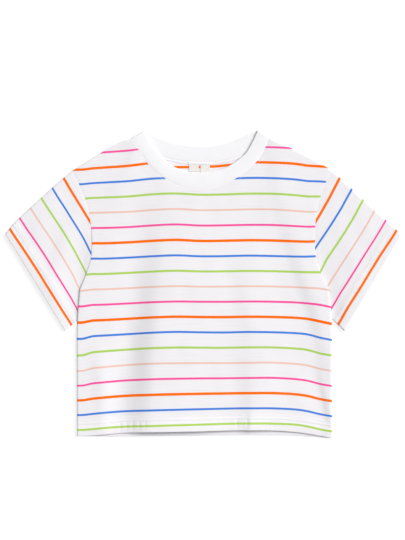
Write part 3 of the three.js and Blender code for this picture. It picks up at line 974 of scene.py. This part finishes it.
def label_tape():
    """Woven tape with fine crossing ribs."""
    cloth = Shading("label_tape")
    vector, across, along = cloth.cloth_map()
    weave = cloth.math("MULTIPLY", cloth.wave(across, WARP_PITCH), cloth.wave(along, WEFT_PITCH))
    cloth.bump(weave, WEAVE_RELIEF, strength=0.4)
    grain = cloth.noise(vector, (900.0, 300.0))
    return cloth.finish(
        LABEL_COLOUR, LABEL_TONES, roughness=0.6, sheen=0.1, grain=grain, weave=weave
    )


jersey_material = jersey()
rib_material = rib()
thread_material = thread()
label_material = label_tape()


# Front and back panels

FRONT_SPACING = 0.0023
BACK_SPACING = 0.005

# About how far the panels run along a shoulder, the neck, a side, an armhole, from the hem to the
# neck and along the hem, where the hem starts, and a place inside the outline
SHOULDER_RUN = 0.080
NECK_RUN = 0.262
SIDE_RUN = 0.202
ARMHOLE_RUN = 0.178
PANEL_RUN = 0.375
HEM_RUN = 0.3575
HEM_START_X = -0.177
PANEL_INSIDE = (0.0, 0.0)

# The neck's columns are this much coarser. Columns at the puckers and rows at the stitches are finer
NECK_COARSER = 1.35
PUCKER_SHIFTS = (-0.0024, -0.0012, 0.0, 0.0012, 0.0024)
ROW_SHIFTS = (-0.0012, -0.0006, 0.0, 0.0006, 0.0012)


def body_panel(name, front, seam, hem, spacing, extra_columns=(), extra_rows=()):
    across = [shoulder_right, seam, reversed_line(shoulder_left)]
    top = chain(across, [0, NECK_START, NECK_END, 1])
    left = chain([side_right, armhole_right], [0, UNDERARM_ROW, 1])
    right = chain([side_left, armhole_left], [0, UNDERARM_ROW, 1])
    shoulder = steps(SHOULDER_RUN, spacing, at_start=True)
    neck = steps(NECK_RUN, spacing * NECK_COARSER, at_start=True, at_end=True)
    columns = np.concatenate(
        [
            shoulder[:-1] * NECK_START,
            NECK_START + neck * (NECK_END - NECK_START),
            (1 - shoulder[:-1] * (1 - NECK_END))[::-1],
        ]
    )
    columns = with_extra(columns, np.array(extra_columns))
    side = steps(SIDE_RUN, spacing, at_start=True)
    armhole = steps(ARMHOLE_RUN, spacing, at_start=True, at_end=True)
    rows = np.concatenate([side[:-1] * UNDERARM_ROW, UNDERARM_ROW + armhole * (1 - UNDERARM_ROW)])
    rows = with_extra(rows, np.array(extra_rows))
    plan = patch(hem, top, left, right, columns, rows)
    extra = None if front else back_top
    outer, inner = layer(
        plan, body_folds, PANEL_INSIDE, front, body_height, CLOTH_WALL, extra=extra
    )
    layers = [(outer, inner, front, lambda edge, place: True)]
    return shell(name + "_cloth", layers, body_uv, jersey_material, (name,), hem)


pucker_columns = [
    (x + shift - HEM_START_X) / HEM_RUN
    for x in HEM_PUCKERS_X
    for shift in PUCKER_SHIFTS
]
stitch_rows = [(row + shift) / PANEL_RUN for row in HEM_ROWS for shift in ROW_SHIFTS]
front_piece = body_panel(
    "front_panel", True, front_seam, front_hem, FRONT_SPACING, pucker_columns, stitch_rows
)
back_piece = body_panel("back_panel", False, back_seam, back_hem, BACK_SPACING)


# Sleeves: tubes pressed flat

# Spacing of the points round a sleeve and along it, the length of its middle and of its top fold
# that the rows are spaced for, and the finer rows at the stitches
SLEEVE_SPACING = 0.0023
SLEEVE_ROW_SPACING = 0.0016
SLEEVE_ROW_RUN = 0.075
SLEEVE_RUN = 0.118
CUFF_SHIFTS = (-0.0008, 0.0, 0.0008)


def sleeve_height(name, armhole, cuff):
    side = 1 if name == "sleeve_left" else -1

    def height(x, y):
        from_cuff, share = line_distance(cuff, x, y)
        base = FRONT_HEIGHT + fold_rise(SLEEVE_FOLDS[name], x, y) + ripple(x + RIPPLE_SHIFT * side, y)
        return base + hem_relief(from_cuff, share * cuff.length) - seam_dip([armhole], x, y)

    return height


def sleeve(name):
    spec = SLEEVES[name]
    armhole = smooth_line(spec["armhole"])
    underarm, tip = armhole(0.0), armhole(1.0)
    tuck = np.array(spec["tuck"])
    tucked = straight_line(tuck, underarm)
    lower_fold = straight_line(tuck, spec["cuff_end"])
    top_fold = smooth_line([tuple(tip), *spec["top_fold"]])
    cuff = straight_line(spec["cuff_end"], spec["top_fold"][-1])
    bottom = chain([tucked, armhole], [0, UNDERARM_SHARE, 1])
    tuck_columns = steps(tucked.length, SLEEVE_SPACING, at_start=True)
    armhole_columns = steps(armhole.length, SLEEVE_SPACING, at_start=True, at_end=True)
    columns = np.concatenate(
        [
            tuck_columns[:-1] * UNDERARM_SHARE,
            UNDERARM_SHARE + armhole_columns * (1 - UNDERARM_SHARE),
        ]
    )
    fine = [(row + step) / SLEEVE_RUN for row in HEM_ROWS for step in CUFF_SHIFTS]
    rows = steps(SLEEVE_ROW_RUN, SLEEVE_ROW_SPACING, at_start=True, at_end=True)
    rows = with_extra(rows, 1 - np.array(fine))
    plan = patch(bottom, cuff, lower_fold, top_fold, columns, rows)
    open_from = len(tuck_columns) - 1

    def is_open(edge, place):
        return edge == "top" or (edge == "bottom" and place >= open_from)

    height = sleeve_height(name, armhole, cuff)
    folds = [tucked, lower_fold, top_fold]
    layers = []
    for front in (True, False):
        outer, inner = layer(plan, folds, spec["inside"], front, height, CLOTH_WALL)
        layers.append((outer, inner, front, is_open))
    uv_of = sleeve_uv(name)
    piece = shell(name + "_cloth", layers, uv_of, jersey_material, (name,))
    return piece, cuff, upper_surface(folds[1:], spec["inside"], height)


sleeves = {name: sleeve(name) for name in SLEEVES}


# Neckband: a ring of rib folded double, with its ribs raised

RIB_PITCH = 0.00135
RIB_RELIEF = 0.00005
BAND_ROWS = (0, 0.012, 0.035, 0.07, 0.14, 0.3, 0.5, 0.7, 0.86, 0.93, 0.97, 0.983, 0.991, 0.997, 1.0)
SEWN_ROUND = 0.00020
FREE_ROUND = 0.00070
RIB_STEPS = 3.5
RIB_FADE = 0.0015
BAND_SWELL = 0.0002
BAND_WIDTH = 0.0225
BAND_RIPPLE = 0.6
BAND_INSIDE = (0.0, 0.17)


def neckband():
    rows = np.array(BAND_ROWS)
    spacing = RIB_PITCH / RIB_STEPS
    columns = steps(NECK_RUN, spacing, at_start=True, at_end=True, bend_width=BAND_INSET)
    ends = (FRONT_BAND[0], FRONT_BAND[-1])
    folds = [straight_line(row[:2], row[2:]) for row in ends]
    layers = []
    for front in (True, False):
        seam, free = (front_seam, front_free) if front else (back_seam, back_free)
        across = free(columns) - seam(columns)
        widths = np.linalg.norm(across, axis=1)
        plan = seam(columns)[:, None, :] + across[:, None, :] * rows[None, :, None]
        edge_distance = np.minimum(rows, 1 - rows)[None, :] * widths[:, None]
        sewn = SEWN_ROUND * np.clip(1 - rows[None, :] * widths[:, None] / BAND_INSET, 0, 1) ** 2
        turned = np.clip(1 - (1 - rows) * widths[:, None] / FREE_ROUND, 0, 1)
        free_turn = FREE_ROUND * (1 - np.sqrt(1 - turned**2))
        ribs = RIB_RELIEF * np.cos(2 * math.pi * columns * seam.length / RIB_PITCH)[:, None]
        ribs = ribs * np.clip(edge_distance / RIB_FADE, 0, 1)
        swell = BAND_SWELL * np.sin(math.pi * rows)[None, :]
        sink = BAND_SINK * (rows**2)[None, :]

        def height(x, y, relief=ribs + swell - sewn - free_turn - sink):
            return BAND_HEIGHT + relief + BAND_RIPPLE * ripple(x, y)

        def thinner(x, y, turn=free_turn):
            return -2 * turn

        outer, inner = layer(
            plan, folds, BAND_INSIDE, front, height, RIB_WALL, BAND_INSET, thinner
        )
        if not front:
            raised = inner[..., 2] + ribs + swell - sewn
            is_full = inner[..., 2] > outer[..., 2] + RIB_WALL / 2
            inner[..., 2] = np.where(is_full, raised, inner[..., 2])
        layers.append((outer, inner, front, lambda edge, place: edge in ("top", "bottom")))

    def uv(x, y, front):
        return grid_map(x.shape, columns[:, None] * NECK_RUN, rows[None, :] * BAND_WIDTH)

    return shell("neckband_rib", layers, uv, rib_material, ("neckband",))


band_piece = neckband()


# Stitches: each a short bead of thread whose ends sink into the cloth

THREAD_RADIUS = 0.00017
STITCH_PITCH = 0.0029
STITCH_SIDES = 6
STITCH_FILL = 0.43
STITCH_MARGIN = 0.0011
UNDER_STITCH = 0.00010
STITCH_STOPS = np.array([-1.0, -0.75, 0.0, 0.75, 1.0])
STITCH_SWELL = np.array([0.25, 0.85, 1.0, 0.85, 0.25])
ARCH_TOP, ARCH_FALL = 0.7, 0.9

# Shares of a line at which its row of stitches starts and ends. The rows of the front's hem end
# sooner by this share for each metre that they lie in from it
ROW_SHARES = (0.012, 0.988)
FRONT_ROW_SHARES = (0.004, 0.994)
SIDE_SLANT = 0.5
FAR_BELOW = (0, -0.2)


def stitch_row(line, offset, towards, start, end, surface):
    """Vertices, faces and map of a row of stitches a little way in from a line."""
    count = int(line.length * (end - start) / STITCH_PITCH)
    shares = start + (np.arange(count) + 0.5) / count * (end - start)
    small = STITCH_PITCH / 4 / line.length
    held = np.clip(shares, 0, 1)
    tangent = line(np.clip(held + small, 0, 1)) - line(np.clip(held - small, 0, 1))
    tangent /= np.linalg.norm(tangent, axis=1)[:, None]
    normal = np.stack([-tangent[:, 1], tangent[:, 0]], axis=-1)
    base = line(held) + tangent * ((shares - held) * line.length)[:, None]
    normal *= np.sign(((np.array(towards) - base) * normal).sum(-1))[:, None]
    centre = base + normal * offset
    reach = STITCH_STOPS * STITCH_FILL * STITCH_PITCH
    along = centre[:, None, :] + tangent[:, None, :] * reach[:, None]
    arch = THREAD_RADIUS * (ARCH_TOP - ARCH_FALL * STITCH_STOPS**2)
    height = surface(along[..., 0], along[..., 1]) + arch
    turn = np.arange(STITCH_SIDES) / STITCH_SIDES * 2 * math.pi
    radius = (THREAD_RADIUS * STITCH_SWELL)[None, :, None]
    across = radius * np.cos(turn)
    rings = np.empty((count, len(STITCH_STOPS), STITCH_SIDES, 3))
    rings[..., :2] = along[:, :, None, :] + normal[:, None, None, :] * across[..., None]
    rings[..., 2] = height[..., None] + radius * np.sin(turn)
    index = np.arange(rings[..., 0].size).reshape(rings.shape[:3])
    turned = np.roll(index, -1, axis=2)
    sides = np.stack([index[:, :-1], index[:, 1:], turned[:, 1:], turned[:, :-1]], axis=-1)
    ends = np.concatenate([index[:, 0], index[:, -1, ::-1]])
    maps = np.broadcast_to(along[:, :, None, :], (*rings.shape[:3], 2)).reshape(-1, 2)
    return rings.reshape(-1, 3), [sides.reshape(-1, 4), ends], maps


def stitches(name, rows):
    vertices, faces, uvs = [], [], []
    offset = 0
    for points, blocks, maps in rows:
        vertices.append(points)
        faces.extend(block + offset for block in blocks)
        uvs.append(maps)
        offset += len(points)
    maps = {"ClothMetres": np.vstack(uvs)}
    return make_mesh(name, np.vstack(vertices), faces, maps, thread_material)


def slant(run, fold):
    """How far a fold at a line's end runs along the line for each metre that it runs across it."""
    along = run @ fold
    across = abs(run[0] * fold[1] - run[1] * fold[0])
    return along / across


def underside(x, y):
    return np.full(x.shape, UNDER_STITCH)


def panel_inside(x, y):
    return CLOTH_WALL + back_top(x, y)


front_surface = upper_surface(body_folds, PANEL_INSIDE, body_height)
start, end = FRONT_ROW_SHARES
front_rows = [
    stitch_row(front_hem, row, PANEL_INSIDE, start, end - SIDE_SLANT * row, front_surface)
    for row in HEM_ROWS
]
neck_row = stitch_row(front_seam, TOPSTITCH_OFFSET, FAR_BELOW, *ROW_SHARES, front_surface)
front_stitches = stitches("front_stitches", [*front_rows, neck_row])
back_rows = [
    stitch_row(back_hem, row, PANEL_INSIDE, *ROW_SHARES, face)
    for row in HEM_ROWS
    for face in (panel_inside, underside)
]
back_stitches = stitches("back_stitches", back_rows)
for name, (piece, cuff, surface) in sleeves.items():
    spec = SLEEVES[name]
    low, high = cuff(0.0), cuff(1.0)
    at_low = slant(high - low, np.array(spec["tuck"]) - low)
    at_high = slant(high - low, np.array(spec["top_fold"][-2]) - high)
    rows = [
        stitch_row(
            cuff,
            row,
            spec["inside"],
            (row * at_low + STITCH_MARGIN) / cuff.length,
            1 + (row * at_high - STITCH_MARGIN) / cuff.length,
            face,
        )
        for row in HEM_ROWS
        for face in (surface, underside)
    ]
    stitches(name + "_stitches", rows)


# Inside the back of the neck: the bound seam allowance, and two blank woven labels under it

TAPE_WIDTH = 0.0036
TAPE_THICKNESS = 0.00035
TAPE_START, TAPE_END = 0.10, 0.90
BINDING_PITCH = 0.0017
LABEL_LAYER = 0.00020
LABEL_LOW, LABEL_HIGH = 0.00102, 0.00126
LABEL_TOP = 0.1702
LABELS = [
    {"name": "label_right", "x": -0.0134, "length": 0.0124, "width": 0.0132, "turn": -0.01},
    {"name": "label_left", "x": 0.0026, "length": 0.0166, "width": 0.0130, "turn": 0.03},
]

# Rows across the tape, how it rises over the labels beneath it, and the threads that bind it
TAPE_ROWS = (0, 0.04, 0.12, 0.25, 0.4, 0.55, 0.7, 0.84, 0.93, 0.98, 1.0)
TAPE_SPACING = 0.00042
TAPE_LIFT = 0.00046
TAPE_LIFT_REACH, TAPE_LIFT_FADE = 0.0034, 0.0028
TAPE_GAP = 0.00004
TAPE_UNEVEN = [(0.05, 37, 0), (0.03, 91, 1)]
TAPE_TURN = 0.25
BINDING_SLANT = 0.0012
BINDING_RELIEF = 0.00006

# Labels: points along each, its bend, and how its end lifts and its sides curl
LABEL_POINTS = 12
LABEL_BEND = 0.0003
LABEL_LIFT = 0.00012
LABEL_CURL = 0.00005


def over_labels(x):
    """How far the seam allowance is lifted where a label comes out from under it."""
    lifts = [
        ease((label["width"] / 2 + TAPE_LIFT_REACH - np.abs(x - label["x"])) / TAPE_LIFT_FADE)
        for label in LABELS
    ]
    return TAPE_LIFT * np.maximum.reduce(lifts)


def neck_tape():
    length = back_seam.length
    count = int(length * (TAPE_END - TAPE_START) / TAPE_SPACING)
    columns = np.linspace(TAPE_START, TAPE_END, count)
    rows = np.array(TAPE_ROWS)
    seam = back_seam(columns)
    tangent = np.gradient(seam, axis=0)
    tangent /= np.linalg.norm(tangent, axis=1)[:, None]
    away = np.stack([tangent[:, 1], -tangent[:, 0]], axis=-1)
    uneven = 1 + sum(share * np.sin(columns * turns + at) for share, turns, at in TAPE_UNEVEN)
    plan = seam[:, None, :] + away[:, None, :] * (TAPE_WIDTH * uneven[:, None] * rows)[..., None]
    distance = columns * length
    phase = 2 * math.pi * (distance[:, None] + BINDING_SLANT * rows) / BINDING_PITCH
    threads = BINDING_RELIEF * np.cos(phase) * (0.3 + 0.7 * rows)
    rounding = np.sqrt(1 - np.clip(1 - np.minimum(rows, 1 - rows) / TAPE_TURN, 0, 1) ** 2)
    base = CLOTH_WALL + TAPE_GAP + over_labels(plan[..., 0])
    upper = base + TAPE_THICKNESS * (0.25 + 0.75 * rounding) + threads * rounding
    outer = np.concatenate([plan, upper[..., None]], axis=-1)
    inner = np.concatenate([plan, base[..., None]], axis=-1)

    def uv(x, y, front):
        return grid_map(x.shape, distance[:, None], TAPE_WIDTH * rows)

    layers = [(outer, inner, True, lambda edge, place: True)]
    return shell("neck_seam_allowance", layers, uv, rib_material, ())


def label(spec):
    """A tape folded double at its lower end, its cut ends sewn into the seam."""
    straight = np.linspace(0, spec["length"] - LABEL_BEND, LABEL_POINTS)
    bend = np.linspace(0, math.pi, 9)[1:-1]
    half = (LABEL_HIGH - LABEL_LOW) / 2
    middle = (LABEL_HIGH + LABEL_LOW) / 2
    reach = np.concatenate([straight, straight[-1] + half * np.sin(bend), straight[::-1]])
    side = np.concatenate([np.ones(LABEL_POINTS), np.cos(bend), -np.ones(LABEL_POINTS)])
    lift = LABEL_LIFT * (reach / spec["length"]) ** 2
    level = middle + half * side + lift
    run = np.stack([np.gradient(reach), np.gradient(level)], axis=-1)
    run /= np.linalg.norm(run, axis=1)[:, None]
    across = np.linspace(-0.5, 0.5, 15) * spec["width"]
    curl = LABEL_CURL * (2 * across / spec["width"]) ** 4
    cos_turn, sin_turn = math.cos(spec["turn"]), math.sin(spec["turn"])

    def surface(offset):
        s = (reach - run[:, 1] * offset)[:, None] + 0 * across
        z = (level + run[:, 0] * offset)[:, None] + curl
        x = spec["x"] + across * cos_turn - s * sin_turn
        y = LABEL_TOP - across * sin_turn - s * cos_turn
        return np.stack([x, y, z], axis=-1)

    def uv(x, y, front):
        length = np.cumsum(np.concatenate([[0], np.hypot(np.diff(reach), np.diff(level))]))
        return grid_map(x.shape, across, length[:, None])

    outer, inner = surface(LABEL_LAYER / 2), surface(-LABEL_LAYER / 2)
    layers = [(outer, inner, True, lambda edge, place: True)]
    name = spec["name"]
    return shell(name + "_tape", layers, uv, label_material, (name,))


tape_piece = neck_tape()
for spec in LABELS:
    label(spec)


# Floor, light and camera


def floor():
    mesh = bpy.data.meshes.new("floor")
    half = FLOOR_SIDE / 2
    corners = [(-half, -half, 0), (half, -half, 0), (half, half, 0), (-half, half, 0)]
    mesh.from_pydata(corners, [], [(0, 1, 2, 3)])
    paper = Shading("floor_paper")
    paper.settings(
        {
            "Base Color": (FLOOR_TONE, FLOOR_TONE, FLOOR_TONE, 1.0),
            "Roughness": 1.0,
            "Specular IOR Level": 0.0,
            "Emission Color": (1.0, 1.0, 1.0, 1.0),
            "Emission Strength": FLOOR_GLOW,
        }
    )
    mesh.materials.append(paper.material)
    piece = bpy.data.objects.new("floor", mesh)
    piece.location.z = -FLOOR_GAP
    bpy.context.collection.objects.link(piece)
    piece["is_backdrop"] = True


def key_lamp():
    light = bpy.data.lights.new("key", "SUN")
    light.angle = KEY_SPREAD
    light.energy = KEY_STRENGTH
    lamp = bpy.data.objects.new("key", light)
    lamp.location = KEY_FROM
    lamp.rotation_mode = "QUATERNION"
    lamp.rotation_quaternion = (-Vector(KEY_FROM)).to_track_quat("-Z", "Y")
    bpy.context.collection.objects.link(lamp)


def studio():
    world = bpy.data.worlds.new("studio")
    bpy.context.scene.world = world
    world.use_nodes = True
    background = world.node_tree.nodes["Background"]
    background.inputs[0].default_value = (1.0, 1.0, 1.0, 1.0)
    background.inputs[1].default_value = FILL_STRENGTH
    key_lamp()
    bpy.context.scene.view_settings.view_transform = "Standard"


def camera():
    data = bpy.data.cameras.new("camera")
    data.lens = LENS_MM
    data.sensor_width = SENSOR_MM
    data.clip_end = CLIP_END
    piece = bpy.data.objects.new("camera", data)
    distance = FRAME_HEIGHT * LENS_MM / SENSOR_MM
    piece.location = (CAMERA_X, CAMERA_Y, FOCUS_HEIGHT + distance)
    bpy.context.collection.objects.link(piece)
    bpy.context.scene.camera = piece


floor()
studio()
camera()

low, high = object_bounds()
sizes = {
    "cad": [list(map(float, cad_low)), list(map(float, cad_high))],
    "visual": [list(map(float, low)), list(map(float, high))],
}
